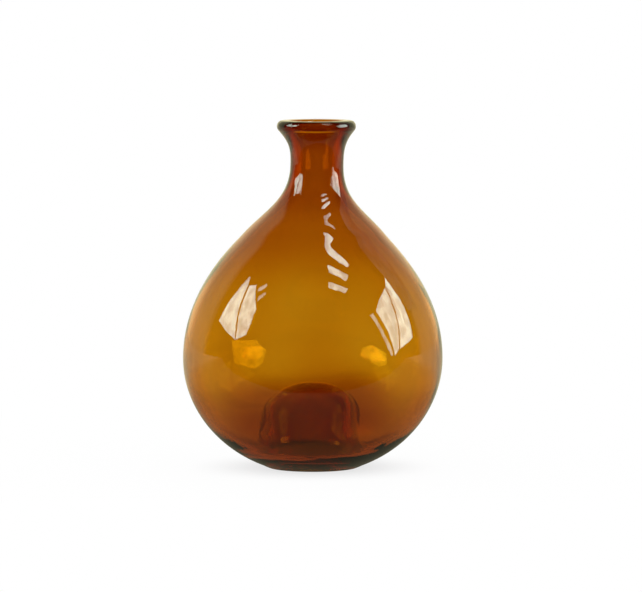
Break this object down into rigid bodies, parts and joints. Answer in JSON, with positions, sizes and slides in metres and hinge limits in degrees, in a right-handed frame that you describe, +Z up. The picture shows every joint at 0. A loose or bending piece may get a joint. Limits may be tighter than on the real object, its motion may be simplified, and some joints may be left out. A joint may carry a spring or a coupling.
{
  "type": "glass bud vase",
  "caption": "Hand-blown amber glass bud vase: a teardrop bulb on a base pushed up high in the middle, a short neck and a flared mouth with a thick rounded lip, for a single stem or a few.",
  "frame": {"origin": "centre of the foot ring, on the surface the vase stands on", "axes": "+Z up along the vase's axis, out through the mouth; +X and +Y level, with the picture's camera looking along +Y"},
  "size_m": [0.1346, 0.1346, 0.18],
  "materials": {
    "amber_glass": "clear amber soda glass, fire polished",
    "dark_amber_glass": "the same amber glass where it is thick, so it looks brown"
  },
  "bodies": {
    "root": {"blown_body": "amber_glass", "lip_ring": "dark_amber_glass", "pontil_mark": "dark_amber_glass"}
  },
  "joints": []
}
